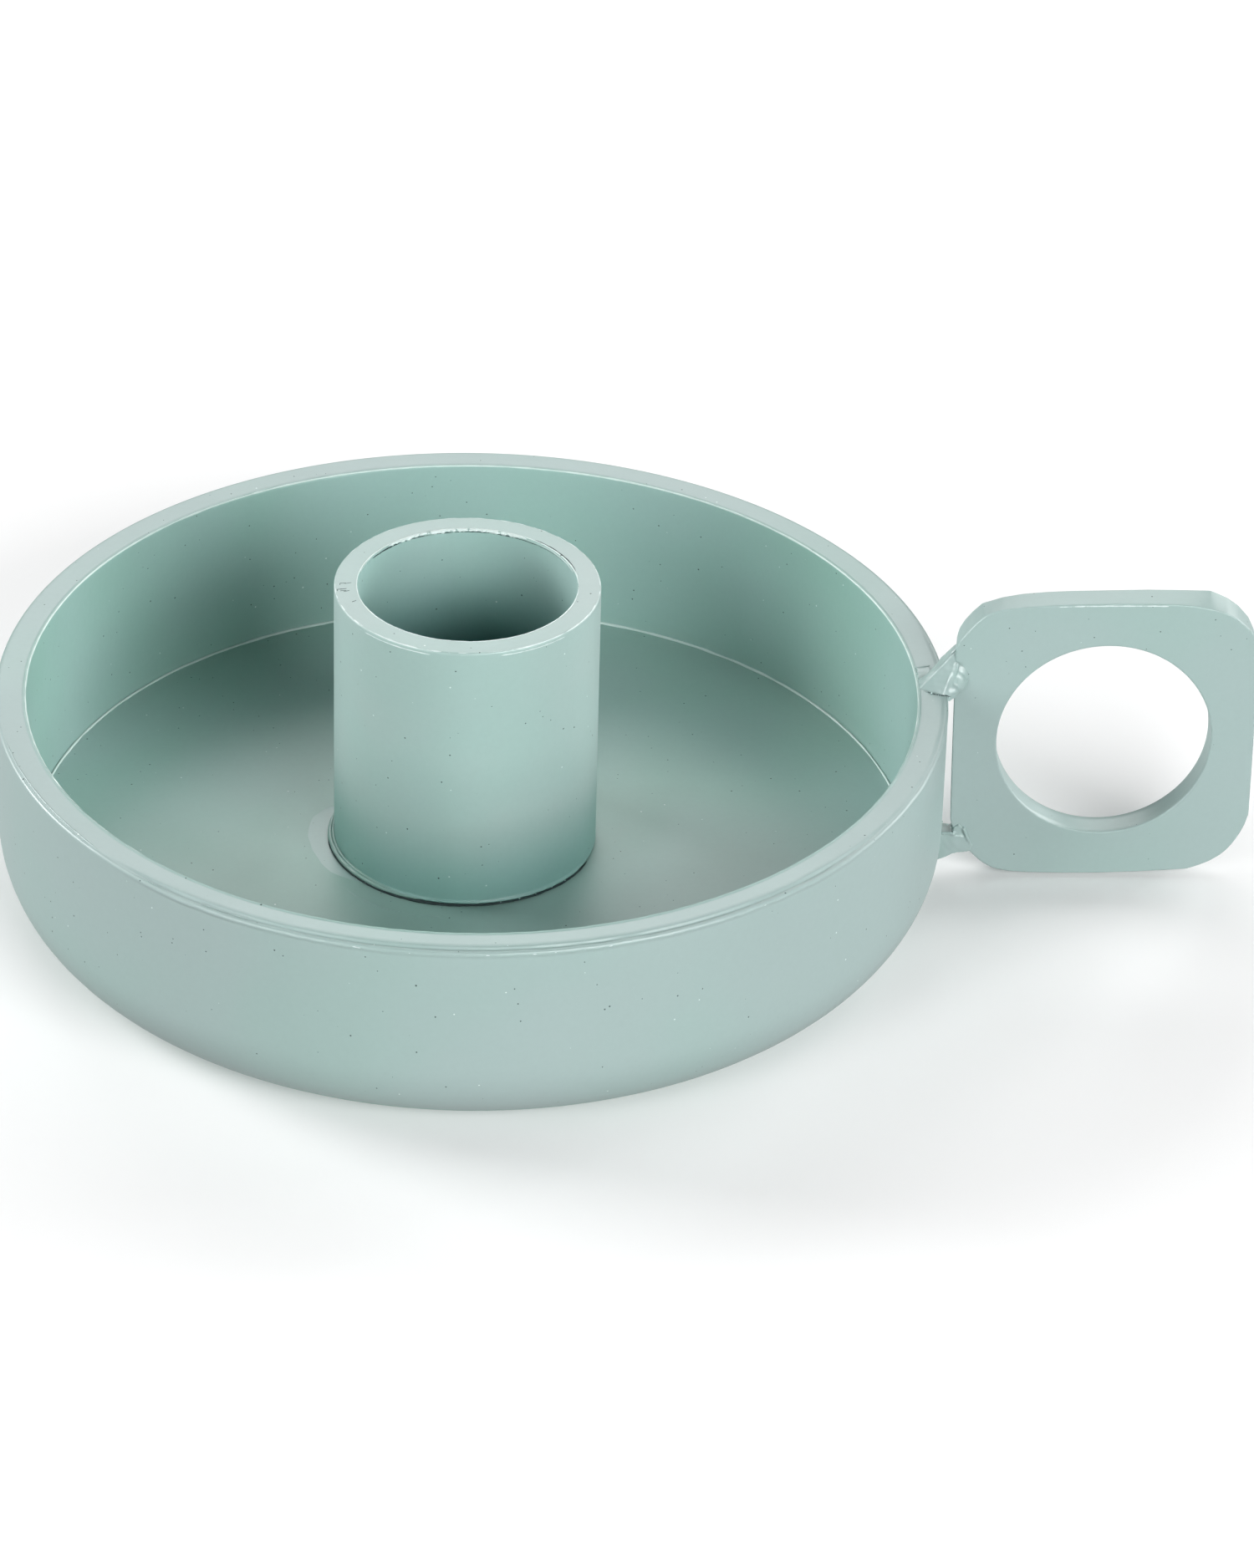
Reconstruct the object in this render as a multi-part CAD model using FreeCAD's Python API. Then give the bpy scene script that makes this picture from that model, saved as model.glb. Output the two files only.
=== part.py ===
import FreeCAD, Part
import math
import os

# A painted steel chamberstick: a round drip dish, a candle tube standing on its floor, and a
# square plate with a finger hole, held by three welds. Nothing on it moves.
# Lengths are millimetres and angles are degrees. The dish's axis is Z, the table is at z = 0,
# and the finger plate stands beside the dish along +X, with its front towards -Y.

# Dish
dish_radius = 48.0
dish_height = 22.8
dish_wall = 3.2
floor_top = 4.8
corner_radius = 9.0
floor_fillet = 0.8
rim_outer_round = 0.8
rim_inner_round = 0.5

# Candle tube: a cut length of pipe that stands a little off the dish's centre
socket_radius = 11.0
tube_wall = 2.35
tube_length = 29.7
tube_outer_round = 0.5
socket_edge_round = 0.3
tube_shift_x = -0.6
tube_shift_y = 0.5

# Finger plate: it leans back and is turned a little in its own plane, as it was welded
plate_width = 30.55
plate_height = 31.6
plate_thickness = 3.0
plate_corner_cut = 4.6
plate_corner_round = 5.0
plate_edge_round = 0.25
finger_hole_radius = 10.95
plate_gap = 1.25
plate_lift = 0.5
plate_lean_angle = 1.5
plate_turn_angle = 1.0

# Rim weld: a round pad on the rim, a ridge up to the plate's corner, and a cheek of two drops
# on the plate's edge and front; a rise is a height above the rim
pad_radius = 2.4
pad_reach = 0.7
pad_sink = 1.3
pad_back = 0.7
ridge_foot_radius = 1.25
ridge_tip_radius = 0.85
ridge_back = 2.0
ridge_bite = 1.6
ridge_tip_rise = 3.0
cheek_radius = 2.0
cheek_rise = 0.6
cheek_top_radius = 1.45
cheek_top_rise = 2.6

# Wall weld: two drops in the notch between the dish's wall and the plate's lower corner
wall_weld_radius = 2.25
wall_weld_height = 4.3
wall_weld_root_radius = 1.8
wall_weld_root_height = 3.9
wall_weld_root_reach = 0.9

# Weld at the tube's foot: a bead that stands out on the left, and a shallow pool beside it
bead_radius = 0.7
bead_shift = 1.0
bead_rise = 0.35
pool_reach = 1.25
pool_edge = 0.4
pool_height = 0.3
pool_shift = 1.9
foot_weld_angle = 205.0

# Every cut runs this much past what it cuts
overrun = 1.0

tube_radius = socket_radius + tube_wall

origin = FreeCAD.Vector(0, 0, 0)
along_x = FreeCAD.Vector(1, 0, 0)
along_y = FreeCAD.Vector(0, 1, 0)
along_z = FreeCAD.Vector(0, 0, 1)
full_turn = 360.0


def section(corners):
    """A closed face in the XZ plane from (across, height, round) corners, with each corner
    rounded to its own radius, or left sharp where that is 0."""
    points = [FreeCAD.Vector(across, 0, height) for across, height, _ in corners]
    entries, exits, arcs = [], [], []
    for place, (_, _, radius) in enumerate(corners):
        corner = points[place]
        back = (points[place - 1] - corner).normalize()
        ahead = (points[(place + 1) % len(points)] - corner).normalize()
        if radius == 0:
            entries.append(corner)
            exits.append(corner)
            arcs.append(None)
            continue
        half_angle = back.getAngle(ahead) / 2
        middle = (back + ahead).normalize()
        centre = corner + middle * (radius / math.sin(half_angle))
        entries.append(corner + back * (radius / math.tan(half_angle)))
        exits.append(corner + ahead * (radius / math.tan(half_angle)))
        arcs.append(Part.Arc(entries[-1], centre - middle * radius, exits[-1]).toShape())
    edges = []
    for place, arc in enumerate(arcs):
        if arc is not None:
            edges.append(arc)
        edges.append(Part.makeLine(exits[place], entries[(place + 1) % len(points)]))
    return Part.Face(Part.Wire(edges))


def make_dish():
    """The drip dish: a flat floor inside a straight wall, with a large round corner below."""
    bore_radius = dish_radius - dish_wall
    corners = [
        (0, 0, 0),
        (dish_radius, 0, corner_radius),
        (dish_radius, dish_height, rim_outer_round),
        (bore_radius, dish_height, rim_inner_round),
        (bore_radius, floor_top, floor_fillet),
        (0, floor_top, 0),
    ]
    return section(corners).revolve(origin, along_z, full_turn)


def tube_foot():
    """The centre of the tube's lower end, on the dish's floor."""
    return FreeCAD.Vector(tube_shift_x, tube_shift_y, floor_top)


def make_candle_tube():
    """The candle socket: a pipe cut square, its top edges lightly rounded."""
    corners = [
        (socket_radius, 0, 0),
        (tube_radius, 0, 0),
        (tube_radius, tube_length, tube_outer_round),
        (socket_radius, tube_length, socket_edge_round),
    ]
    tube = section(corners).revolve(origin, along_z, full_turn)
    tube.translate(tube_foot())
    return tube


def plate_placement():
    """Takes the plate from its own axes, with its front's lowest middle point at the origin,
    to where it stands beside the dish."""
    turn = FreeCAD.Rotation(along_y, -plate_turn_angle)
    lean = FreeCAD.Rotation(along_x, -plate_lean_angle)
    place = FreeCAD.Vector(dish_radius + plate_gap + plate_width / 2, 0, plate_lift)
    return FreeCAD.Placement(place, lean * turn)


def make_finger_plate():
    """The finger loop: a square plate with its corners cut and rounded, and one round hole."""
    side = plate_width / 2
    cut = plate_corner_cut
    outline = [
        (cut - side, 0),
        (side - cut, 0),
        (side, cut),
        (side, plate_height - cut),
        (side - cut, plate_height),
        (cut - side, plate_height),
        (-side, plate_height - cut),
        (-side, cut),
    ]
    face = section([(across, height, plate_corner_round) for across, height in outline])
    plate = face.extrude(along_y * plate_thickness)
    rim_edges = [edge for edge in plate.Edges if is_across(edge)]
    plate = plate.makeFillet(plate_edge_round, rim_edges)
    hole_start = FreeCAD.Vector(0, -overrun, plate_height / 2)
    hole_length = plate_thickness + 2 * overrun
    plate = plate.cut(Part.makeCylinder(finger_hole_radius, hole_length, hole_start, along_y))
    plate.Placement = plate_placement()
    return plate


def is_across(edge):
    """True for an edge of the front or back outline, which stays at one depth."""
    depths = [vertex.Point.y for vertex in edge.Vertexes]
    return max(depths) - min(depths) < plate_thickness / 2


def on_plate(across, depth, height):
    """A point given along, behind and up the plate's front face."""
    return plate_placement().multVec(FreeCAD.Vector(across, depth, height))


def drop(radius, centre):
    """A round drop of weld metal, with its poles along X."""
    return Part.makeSphere(radius, centre, -along_x)


def fitted(weld, neighbours):
    """What is left of a weld outside its neighbours: its largest solid, flush with them."""
    for neighbour in neighbours:
        weld = weld.cut(neighbour)
    return max(weld.Solids, key=lambda solid: solid.Volume)


def make_rim_weld(dish, plate):
    """The upper weld, from the rim's top up to the plate's edge and round onto its front."""
    plate_side = -plate_width / 2
    rim_on_plate = dish_height - plate_lift
    pad_centre = FreeCAD.Vector(dish_radius - pad_reach, pad_back, dish_height - pad_sink)
    pad = drop(pad_radius, pad_centre)
    foot = FreeCAD.Vector(dish_radius - pad_reach, ridge_back, dish_height)
    run = on_plate(plate_side + ridge_bite, ridge_back, rim_on_plate + ridge_tip_rise) - foot
    ridge = Part.makeCone(ridge_foot_radius, ridge_tip_radius, run.Length, foot, run)
    cheek = drop(cheek_radius, on_plate(plate_side, 0, rim_on_plate + cheek_rise))
    cheek_top = drop(cheek_top_radius, on_plate(plate_side, 0, rim_on_plate + cheek_top_rise))
    return fitted(pad.fuse([ridge, cheek, cheek_top]), [dish, plate])


def make_wall_weld(dish, plate):
    """The lower weld, in the notch between the round of the dish and the plate's corner."""
    plate_side = -plate_width / 2
    middle = plate_thickness / 2
    tip = drop(wall_weld_radius, on_plate(plate_side, middle, wall_weld_height))
    root_side = plate_side - plate_gap - wall_weld_root_reach
    root = drop(wall_weld_root_radius, on_plate(root_side, middle, wall_weld_root_height))
    return fitted(tip.fuse(root), [dish, plate])


def make_tube_foot_weld(dish):
    """The weld at the tube's foot: a bead and a shallow pool, both drawn out to one side."""
    side = FreeCAD.Rotation(along_z, foot_weld_angle).multVec(along_x)
    bead_centre = tube_foot() + side * bead_shift + along_z * bead_rise
    bead = Part.makeTorus(tube_radius, bead_radius, bead_centre, along_z)
    pool_radius = tube_radius + pool_reach
    pool_centre = tube_foot() + side * pool_shift
    pool = Part.makeCone(pool_radius, pool_radius - pool_edge, pool_height, pool_centre, along_z)
    tube_space = Part.makeCylinder(tube_radius, tube_length, tube_foot() - along_z * overrun, along_z)
    return fitted(bead.fuse(pool), [dish, tube_space])


os.makedirs("parts", exist_ok=True)
dish = make_dish()
finger_plate = make_finger_plate()
pieces = {
    "dish": dish,
    "candle_tube": make_candle_tube(),
    "finger_plate": finger_plate,
    "rim_weld": make_rim_weld(dish, finger_plate),
    "wall_weld": make_wall_weld(dish, finger_plate),
    "tube_foot_weld": make_tube_foot_weld(dish),
}
for name, shape in pieces.items():
    shape.exportStep("parts/" + name + ".step")
    box = shape.BoundBox
    low = (round(box.XMin, 2), round(box.YMin, 2), round(box.ZMin, 2))
    high = (round(box.XMax, 2), round(box.YMax, 2), round(box.ZMax, 2))
    print(name, "solids", len(shape.Solids), "valid", shape.isValid(), "volume", round(shape.Volume, 1), low, high)
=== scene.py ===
# %% [markdown]
# # A painted steel chamberstick
# A chamberstick is a candle holder that is carried from room to room: a round dish catches the
# drips, a short pipe holds the candle, and a small plate with a hole takes a finger. This one is
# three pieces of steel, welded together and painted sage green. The lesson dresses its CAD model:
# every piece is made again with the soft edges, paint ridges and weld metal that the real one has.
# The model loads first, because the new pieces have to stay inside its box.

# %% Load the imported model
import math

import bmesh
import bpy
import numpy as np
from mathutils import Matrix, Vector


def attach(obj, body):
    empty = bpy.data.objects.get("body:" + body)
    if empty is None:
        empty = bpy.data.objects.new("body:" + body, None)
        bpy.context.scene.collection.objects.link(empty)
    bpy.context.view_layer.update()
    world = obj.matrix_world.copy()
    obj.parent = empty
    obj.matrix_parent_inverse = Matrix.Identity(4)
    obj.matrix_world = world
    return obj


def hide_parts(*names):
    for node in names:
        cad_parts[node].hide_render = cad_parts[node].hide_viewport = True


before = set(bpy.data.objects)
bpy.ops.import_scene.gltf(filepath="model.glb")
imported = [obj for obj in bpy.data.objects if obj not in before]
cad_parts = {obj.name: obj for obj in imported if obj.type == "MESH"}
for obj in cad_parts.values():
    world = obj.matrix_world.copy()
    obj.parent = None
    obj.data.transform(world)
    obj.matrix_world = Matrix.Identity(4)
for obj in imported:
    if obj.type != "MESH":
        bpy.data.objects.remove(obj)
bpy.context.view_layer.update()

# %% [markdown]
# ## Sizes
# Lengths are written in millimetres, as a metalworker would give them, and MM turns them into
# Blender's metres. The main sizes repeat those of the CAD model, so a piece fits where it was.
# The plate was welded on by hand: it leans back a little and is turned a little.

# %% Sizes of the three steel pieces
MM = 0.001
RIM_RADIUS, RIM_HEIGHT, WALL = 48.0, 22.8, 3.2
FLOOR, CORNER = 4.8, 9.0
BORE = RIM_RADIUS - WALL
TUBE_RADIUS, SOCKET_RADIUS, TUBE_TOP = 13.35, 11.0, 34.5
TUBE_AXIS = (-0.6, 0.5)
PLATE_WIDTH, PLATE_HEIGHT, PLATE_THICKNESS = 30.55, 31.6, 3.0
HOLE_RADIUS = 10.95
PLATE_GAP, PLATE_LIFT = 1.25, 0.5
PLATE_FOOT = (RIM_RADIUS + PLATE_GAP + PLATE_WIDTH / 2, 0.0, PLATE_LIFT)
PLATE_LEAN, PLATE_TURN = math.radians(1.5), math.radians(1.0)
print("rim", 2 * RIM_RADIUS, "mm, socket", 2 * SOCKET_RADIUS, "mm, plate", PLATE_WIDTH, "mm wide")

# %% [markdown]
# ## The camera first
# The photograph looks down on the dish at about 32 degrees from close by with a long lens. The
# camera is put where the circles of the rim, the tube and the floor all fall in the right place.
# It stands before the shapes do, so that each new piece is judged in the photograph's own view.

# %% Camera
CAMERA_PLACE = Vector((-11.02, -569.39, 372.05)) * MM
CAMERA_DOWN, CAMERA_AROUND, CAMERA_ROLL = 32.338, -2.7, 1.529
CAMERA_LENS, CAMERA_SENSOR = 152.217, 36


def add_object(name, data):
    """A new object in the scene, at the origin."""
    thing = bpy.data.objects.new(name, data)
    bpy.context.scene.collection.objects.link(thing)
    return thing


def make_camera():
    """The camera: turned about the vertical, tipped down, then rolled about its own view."""
    data = bpy.data.cameras.new("camera")
    data.lens, data.sensor_width = CAMERA_LENS, CAMERA_SENSOR
    camera = add_object("camera", data)
    around = Matrix.Rotation(math.radians(CAMERA_AROUND), 4, "Z")
    down = Matrix.Rotation(math.radians(90 - CAMERA_DOWN), 4, "X")
    roll = Matrix.Rotation(math.radians(CAMERA_ROLL), 4, "Z")
    camera.matrix_world = Matrix.Translation(CAMERA_PLACE) @ around @ down @ roll
    bpy.context.scene.camera = camera
    return camera


camera = make_camera()
print("camera", round(camera.location.length, 3), "m from the middle of the dish")

# %% [markdown]
# ## Helpers for node trees
# Geometry Nodes and shader groups are both built in the script, by one helper that adds a node
# and sets its inputs: a value is set on the socket, and another node's output is linked to it.
# Signs between outputs add Math nodes, so a tree's sums read like sums. Every Geometry Nodes
# tree takes named inputs and ends the same way, so that any of them can run on a start mesh or
# curve and give back a plain mesh with its paint on.

# %% Node helpers
class Value:
    """One output of a node. A sign such as + or * between values adds a Math node."""

    def __init__(self, tree, socket):
        self.tree, self.socket = tree, socket

    def __add__(self, other):
        return maths("ADD", self, other)

    def __sub__(self, other):
        return maths("SUBTRACT", self, other)

    def __rsub__(self, other):
        return maths("SUBTRACT", other, self)

    def __mul__(self, other):
        return maths("MULTIPLY", self, other)

    def __truediv__(self, other):
        return maths("DIVIDE", self, other)


def add_node(tree, kind, inputs=(), **settings):
    """Adds a node and gives its outputs, by number and by name. inputs maps a socket's name or
    number to a plain value or to another node's output."""
    node = tree.nodes.new(kind)
    for name, value in settings.items():
        setattr(node, name, value)
    for name, value in dict(inputs).items():
        if isinstance(value, Value):
            tree.links.new(value.socket, node.inputs[name])
        else:
            node.inputs[name].default_value = value
    values = [Value(tree, socket) for socket in node.outputs]
    return {**dict(enumerate(values)), **{value.socket.name: value for value in values}}


def maths(operation, *values):
    """One Math node's output."""
    tree = next(value.tree for value in values if isinstance(value, Value))
    return add_node(tree, "ShaderNodeMath", dict(enumerate(values)), operation=operation)[0]


def vector_maths(operation, first, inputs):
    """One Vector Math node's output."""
    inputs = {0: first, **inputs}
    return add_node(first.tree, "ShaderNodeVectorMath", inputs, operation=operation)[0]


def new_tree(name, tree_kind, inputs, outputs):
    """A node tree with named inputs and outputs. Each input has its kind, or its default: a
    number, or a colour."""
    tree = bpy.data.node_groups.new(name, tree_kind)
    for label, given in inputs.items():
        kind = given if isinstance(given, str) else "Float" if isinstance(given, float) else "Color"
        socket = tree.interface.new_socket(label, in_out="INPUT", socket_type="NodeSocket" + kind)
        if given is not kind:
            socket.default_value = given
    for label, kind in outputs.items():
        tree.interface.new_socket(label, in_out="OUTPUT", socket_type="NodeSocket" + kind)
    print("tree", name, "takes", list(inputs), "and gives", list(outputs))
    return tree, add_node(tree, "NodeGroupInput")


def new_shape_tree(name, inputs):
    """A Geometry Nodes tree: a geometry and the named inputs go in, and a geometry comes out."""
    inputs = {"Geometry": "Geometry", **inputs, "Material": "Material"}
    return new_tree(name, "GeometryNodeTree", inputs, {"Geometry": "Geometry"})


def finish_shape_tree(tree, geometry, material):
    """Ends it: shade smooth, make instances real, set the material, and out."""
    smooth = add_node(tree, "GeometryNodeSetShadeSmooth", {"Geometry": geometry})[0]
    real = add_node(tree, "GeometryNodeRealizeInstances", {"Geometry": smooth})[0]
    painted = add_node(tree, "GeometryNodeSetMaterial", {"Geometry": real, "Material": material})[0]
    add_node(tree, "NodeGroupOutput", {"Geometry": painted})


def finished_mesh(holder):
    """The mesh that an object's modifiers make. The object itself is removed."""
    bpy.context.view_layer.update()
    graph = bpy.context.evaluated_depsgraph_get()
    mesh = bpy.data.meshes.new_from_object(holder.evaluated_get(graph), depsgraph=graph)
    bpy.data.objects.remove(holder)
    return mesh


def run_tree(tree, start, values):
    """Runs a tree on a start mesh or curve and gives the result as a plain mesh."""
    holder = add_object("holder", start)
    modifier = holder.modifiers.new("tree", "NODES")
    modifier.node_group = tree
    for item in tree.interface.items_tree:
        if item.in_out == "INPUT" and item.name in values:
            modifier[item.identifier] = values[item.name]
    return coat(finished_mesh(holder), values["Material"])


def coat(mesh, material):
    """Gives a mesh one material, on all its faces."""
    mesh.materials.clear()
    mesh.materials.append(material)
    mesh.polygons.foreach_set("material_index", [0] * len(mesh.polygons))
    return mesh


print("ready: helpers for nodes, trees and meshes")

# %% [markdown]
# ## The paint
# The real paint is satin: a sage green that looks bluer where it shines and greener in the
# hollows. Here that light and shade are painted into the colour: a greyer sheen tone where light
# falls, and a dark shade tone low in the socket. From close by the paint has a slow unevenness of
# tone, a fine orange peel, tiny dark pits and a few pale grains under the film. Four shader groups
# make these: one mixes the tone, one gives the masks of painted light and shade, one spots it and
# one gives it a skin. Each paint material sets its own tones and strengths. A painted image could
# carry the same marks, but noise that reads each point's place needs no unwrapping and stays
# sharp from close by.

# %% Group for the slow change of tone
def mix_colours(share, first, second):
    """A colour that goes from first to second as share goes from 0 to 1."""
    inputs = {0: share, 6: first, 7: second}
    return add_node(share.tree, "ShaderNodeMix", inputs, data_type="RGBA")[2]


def noise_at(vector, scale, detail, roughness=0.5):
    """A Noise Texture's value."""
    inputs = {"Vector": vector, "Scale": scale, "Detail": detail, "Roughness": roughness}
    return add_node(vector.tree, "ShaderNodeTexNoise", inputs)[0]


def spread(value, low, high):
    """A value from low to high, stretched to run softly from 0 to 1."""
    inputs = {"Value": value, "From Min": low, "From Max": high}
    return add_node(value.tree, "ShaderNodeMapRange", inputs, interpolation_type="SMOOTHSTEP")[0]


def make_tone_group():
    """Colour that drifts between a green and a blue tone, with a fine grain of light and dark.
    Where light falls a greyer painted sheen tone is mixed in, and low in the socket a painted shade
    tone."""
    inputs = {
        "Vector": "Vector", "Painted Sheen": 0.0, "Painted Shade": 0.0, "Drift Scale": 40.0, "Grain": 0.1,
        "Green Tone": (0.3, 0.45, 0.4, 1), "Blue Tone": (0.35, 0.45, 0.45, 1),
        "Painted Sheen Tone": (0.35, 0.45, 0.45, 1), "Painted Shade Tone": (0.022, 0.12, 0.118, 1),
    }
    tree, put = new_tree("paint_tone", "ShaderNodeTree", inputs, {"Color": "Color"})
    drift = spread(noise_at(put["Vector"], put["Drift Scale"], 3.0), 0.3, 0.7)
    colour = mix_colours(drift, put["Green Tone"], put["Blue Tone"])
    # Painted light: a greyer sheen tone where light falls, then a dark painted shade tone low in
    # the socket.
    colour = mix_colours(put["Painted Sheen"] * (drift * 0.3 + 0.7), colour, put["Painted Sheen Tone"])
    colour = mix_colours(put["Painted Shade"], colour, put["Painted Shade Tone"])
    grain = (noise_at(put["Vector"], 1500.0, 4.0, 0.7) - 0.5) * put["Grain"] + 1.0
    toned = vector_maths("SCALE", colour, {"Scale": grain})
    add_node(tree, "NodeGroupOutput", {"Color": toned})
    return tree


tone_group = make_tone_group()


# %% Group for painted light and shade
def distance_from(x, y, axis):
    """How far a place lies from an upright axis."""
    x, y = (maths("ABSOLUTE", along - at * MM) for along, at in zip((x, y), axis))
    return maths("SQRT", maths("POWER", x, 2.0) + maths("POWER", y, 2.0))


def make_light_and_shade_group():
    """Two masks of painted light. The first, a greyer painted sheen, is 1 where light falls on the
    paint: on the dish's outside and rim, on the tube above its foot, and in part at the socket's
    mouth. The second, painted shade, is 1 low in the socket."""
    outputs = {"Painted Sheen": "Float", "Painted Shade": "Float"}
    tree, put = new_tree("painted_light_and_shade", "ShaderNodeTree", {"Vector": "Vector"}, outputs)
    place = add_node(tree, "ShaderNodeSeparateXYZ", {0: put["Vector"]})
    height = place[2]
    from_dish = distance_from(place[0], place[1], (0, 0))
    from_tube = distance_from(place[0], place[1], TUBE_AXIS)
    outside = spread(from_dish, (BORE + 0.05) * MM, (BORE + 0.6) * MM)
    socket = spread(from_tube, (SOCKET_RADIUS - 0.05) * MM, (SOCKET_RADIUS + 0.15) * MM)
    socket = (1.0 - socket) * maths("GREATER_THAN", height, (FLOOR - 0.8) * MM)
    skin = maths("LESS_THAN", from_tube, (TUBE_RADIUS + 0.65) * MM) - socket
    high = spread(height, 5 * MM, 15 * MM) * skin
    mouth = spread(height, 21 * MM, 33 * MM) * (socket * 0.7)
    add_node(tree, "NodeGroupOutput", {
        "Painted Sheen": maths("MAXIMUM", outside, maths("MAXIMUM", high, mouth)),
        "Painted Shade": (1.0 - spread(height, 17 * MM, 29 * MM)) * socket,
    })
    return tree


light_and_shade_group = make_light_and_shade_group()


# %% Group for pits and grains in the film
def make_fleck_group():
    """Two masks of small round spots: dark pits, and fewer pale grains."""
    inputs = {"Pit Spacing": 300.0, "Pit Share": 0.3, "Pit Size": 0.1, "Grain Share": 0.1}
    outputs = {"Pits": "Float", "Grains": "Float"}
    inputs = {"Vector": "Vector", **inputs}
    tree, put = new_tree("paint_flecks", "ShaderNodeTree", inputs, outputs)
    masks = {}
    for label, share, offset in (("Pits", "Pit Share", 0.0), ("Grains", "Grain Share", 7.3)):
        moved = vector_maths("ADD", put["Vector"], {1: (offset, offset, offset)})
        cells = {"Vector": moved, "Scale": put["Pit Spacing"], "Randomness": 1.0}
        near = add_node(tree, "ShaderNodeTexVoronoi", cells)
        chance = add_node(tree, "ShaderNodeSeparateColor", {0: near["Color"]})
        chosen = maths("LESS_THAN", chance[0], put[share])
        size = (chance[1] + 0.4) * put["Pit Size"]
        masks[label] = chosen * maths("LESS_THAN", near["Distance"], size)
    add_node(tree, "NodeGroupOutput", masks)
    return tree


fleck_group = make_fleck_group()


# %% Group for the skin of the paint
def make_skin_group():
    """The paint's surface: an orange peel height, and a gloss that varies a little."""
    inputs = {"Peel Scale": 900.0, "Peel": 1.0, "Roughness": 0.4, "Roughness Spread": 0.1}
    inputs = {"Vector": "Vector", **inputs}
    outputs = {"Height": "Float", "Roughness": "Float"}
    tree, put = new_tree("paint_skin", "ShaderNodeTree", inputs, outputs)
    peel = noise_at(put["Vector"], put["Peel Scale"], 2.0)
    swell = noise_at(put["Vector"], 160.0, 2.0)
    patch = noise_at(put["Vector"], 90.0, 4.0) - 0.5
    add_node(tree, "NodeGroupOutput", {
        "Height": (peel + swell * 2.5) * put["Peel"],
        "Roughness": patch * put["Roughness Spread"] + put["Roughness"],
    })
    return tree


skin_group = make_skin_group()

# %% [markdown]
# ## Paint materials
# The same four groups serve six paints. The dish and the plate get the plain satin film, the tube
# a slightly greener one, and the welds a glossier one, because paint runs together in their
# hollows. Grit and thin run metal are pale. Edges get a nearly white paint, which is a painted
# highlight as well as thin worn film, and a nearly black paint is painted shade in narrow gaps and
# creases and the dark of scratches. Each paint has a green, a blue and a painted sheen tone.

# %% Paint materials
PIT_COLOUR = (0.03, 0.06, 0.055, 1)
GRAIN_COLOUR = (0.62, 0.72, 0.69, 1)
PIT_SPACING, PIT_SIZE, PEEL_SCALE = 800.0, 0.055, 1100.0
BUMP_HEIGHT = 0.02 * MM
PAINT_IOR = 1.75
SAGE = (0.252, 0.425, 0.373, 1), (0.282, 0.428, 0.400, 1), (0.308, 0.405, 0.394, 1)
TUBE_SAGE = (0.240, 0.452, 0.405, 1), (0.262, 0.455, 0.430, 1), (0.365, 0.458, 0.442, 1)
PALE_SAGE = (0.290, 0.435, 0.412, 1), (0.305, 0.440, 0.422, 1), (0.37, 0.49, 0.48, 1)
# Nearly white: a painted highlight on edges, as well as thin worn film.
WORN_AND_HIGHLIGHT_SAGE = (0.54, 0.68, 0.64, 1), (0.58, 0.70, 0.67, 1), (0.62, 0.71, 0.70, 1)
# Nearly black: painted shade in narrow gaps, creases and along burrs, and the dark of scratches.
SHADE_AND_SCRATCH_DARK = (0.008, 0.026, 0.027, 1), (0.012, 0.034, 0.035, 1), (0.012, 0.034, 0.035, 1)


def paint(name, tones, roughness=0.40, peel=0.5, pits=0.8, grains=0.18, drift=38.0):
    """A paint made with the four groups, set for one kind of surface."""
    material = bpy.data.materials.new(name)
    material.use_nodes = True
    tree = material.node_tree
    tree.nodes.clear()
    place = add_node(tree, "ShaderNodeTexCoord")["Object"]

    def use(group, inputs):
        """Places one of the four groups in this paint."""
        return add_node(tree, "ShaderNodeGroup", {"Vector": place, **inputs}, node_tree=group)

    light_and_shade_masks = use(light_and_shade_group, {})
    # The tone takes the painted sheen and painted shade masks.
    tone = use(tone_group, {
        "Painted Sheen": light_and_shade_masks["Painted Sheen"], "Painted Shade": light_and_shade_masks["Painted Shade"], "Drift Scale": drift, "Grain": 0.08,
        "Green Tone": tones[0], "Blue Tone": tones[1], "Painted Sheen Tone": tones[2],
    })
    flecks = use(fleck_group, {
        "Pit Share": pits, "Grain Share": grains, "Pit Spacing": PIT_SPACING, "Pit Size": PIT_SIZE,
    })
    skin = use(skin_group, {
        "Peel": peel, "Peel Scale": PEEL_SCALE, "Roughness": roughness, "Roughness Spread": 0.12,
    })
    colour = mix_colours(flecks["Pits"], tone["Color"], PIT_COLOUR)
    colour = mix_colours(flecks["Grains"], colour, GRAIN_COLOUR)
    bump = {"Height": skin["Height"] - flecks["Pits"] * 4.0, "Distance": BUMP_HEIGHT}
    bump = add_node(tree, "ShaderNodeBump", {**bump, "Strength": 1.0})[0]
    film = {"Base Color": colour, "Roughness": skin["Roughness"], "Normal": bump, "IOR": PAINT_IOR}
    film = add_node(tree, "ShaderNodeBsdfPrincipled", film)[0]
    add_node(tree, "ShaderNodeOutputMaterial", {"Surface": film})
    return material


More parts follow.
